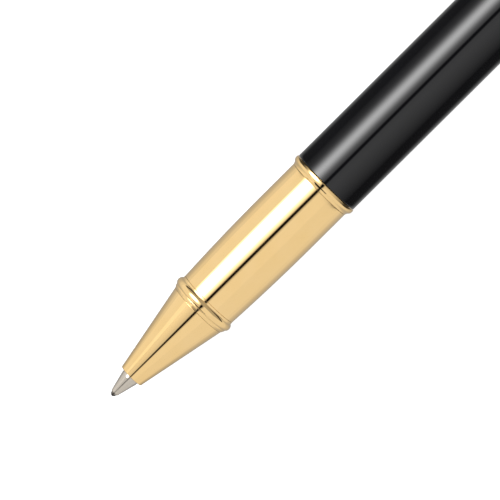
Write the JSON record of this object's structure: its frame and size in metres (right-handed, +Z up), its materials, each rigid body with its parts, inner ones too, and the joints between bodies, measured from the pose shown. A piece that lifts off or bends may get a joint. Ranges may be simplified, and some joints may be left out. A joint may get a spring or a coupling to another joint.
{
  "type": "rollerball pen",
  "caption": "Capped rollerball pen with a gold grip section, a black lacquered barrel, a screw-in refill and a clipped cap posted on its tail.",
  "frame": {"origin": "the writing point: where the pen's axis meets the front of the ball", "axes": "+X along the pen from the writing point to the crown of the posted cap, +Z up with the pen lying on its side, +Y away from the side that the clip points to"},
  "size_m": [0.1523, 0.0137, 0.0126],
  "materials": {
    "gold_plate": "mirror-polished gold plate on turned brass",
    "bare_brass": "as turned, clear-lacquered brass",
    "black_lacquer": "deep-gloss black lacquer on a thin metal tube",
    "stainless_steel": "fine-turned stainless steel",
    "carbide": "polished tungsten carbide, wet with black ink",
    "spring_steel": "drawn stainless wire",
    "black_moulding": "moulded black polypropylene",
    "white_moulding": "extruded white polypropylene",
    "inked_fibre": "bonded fibre soaked with black ink"
  },
  "bodies": {
    "section": {"nose_cone": "gold_plate", "catch_ring": "gold_plate", "grip_sleeve": "gold_plate", "trim_ring": "gold_plate", "section_bush": "bare_brass"},
    "refill": {"tip_cone": "stainless_steel", "tip_holder": "black_moulding", "feed_wick": "inked_fibre", "refill_tube": "white_moulding", "ink_reservoir": "inked_fibre", "refill_plug": "black_moulding"},
    "ball": {"writing_ball": "carbide"},
    "spring_seat": {"spring_cup": "black_moulding", "refill_spring": "spring_steel"},
    "barrel": {"barrel_tube": "black_lacquer", "barrel_bush": "bare_brass", "tail_plug": "gold_plate"},
    "clutch": {"snap_ring": "spring_steel"},
    "cap": {"cap_band": "gold_plate", "cap_tube": "black_lacquer", "ring_spacer": "black_moulding", "inner_cap": "black_moulding", "crown_plug": "bare_brass", "finial_screw": "stainless_steel", "lock_washer": "spring_steel", "clip_bracket": "gold_plate", "clip_collar": "gold_plate", "finial_base": "gold_plate", "finial_jewel": "black_lacquer"},
    "clip": {"clip_arm": "gold_plate"}
  },
  "joints": [
    {"name": "refill_recoil", "type": "slide", "parent": "section", "child": "refill", "axis": [1, 0, 0], "range_m": [0, 0.0025], "stiffness_N_per_m": 300, "springref_m": -0.006, "deforming": ["refill_spring"]},
    {"name": "ball_roll", "type": "hinge", "parent": "refill", "child": "ball", "pos_m": [0.0003, 0, 0], "axis": [0, 1, 0], "continuous": true},
    {"name": "barrel_travel", "type": "slide", "parent": "section", "child": "spring_seat", "axis": [1, 0, 0], "range_m": [0, 0.005]},
    {"name": "barrel_turn", "type": "hinge", "parent": "spring_seat", "child": "barrel", "pos_m": [0.041, 0, 0], "axis": [1, 0, 0], "range_deg": [0, 1800]},
    {"name": "cap_pull", "type": "slide", "parent": "barrel", "child": "clutch", "axis": [1, 0, 0], "range_m": [0, 0.06]},
    {"name": "cap_turn", "type": "hinge", "parent": "clutch", "child": "cap", "pos_m": [0.12, 0, 0], "axis": [1, 0, 0], "continuous": true},
    {"name": "clip_flex", "type": "hinge", "parent": "cap", "child": "clip", "pos_m": [0.1477, -0.00544, -0.00425], "axis": [0, -0.6157, 0.788], "range_deg": [0, 5], "stiffness_Nm_per_rad": 2, "springref_deg": -1.15}
  ],
  "couplings": [
    {"joint": "barrel_turn", "follows": "barrel_travel", "rad_per_m": 6283.2}
  ]
}
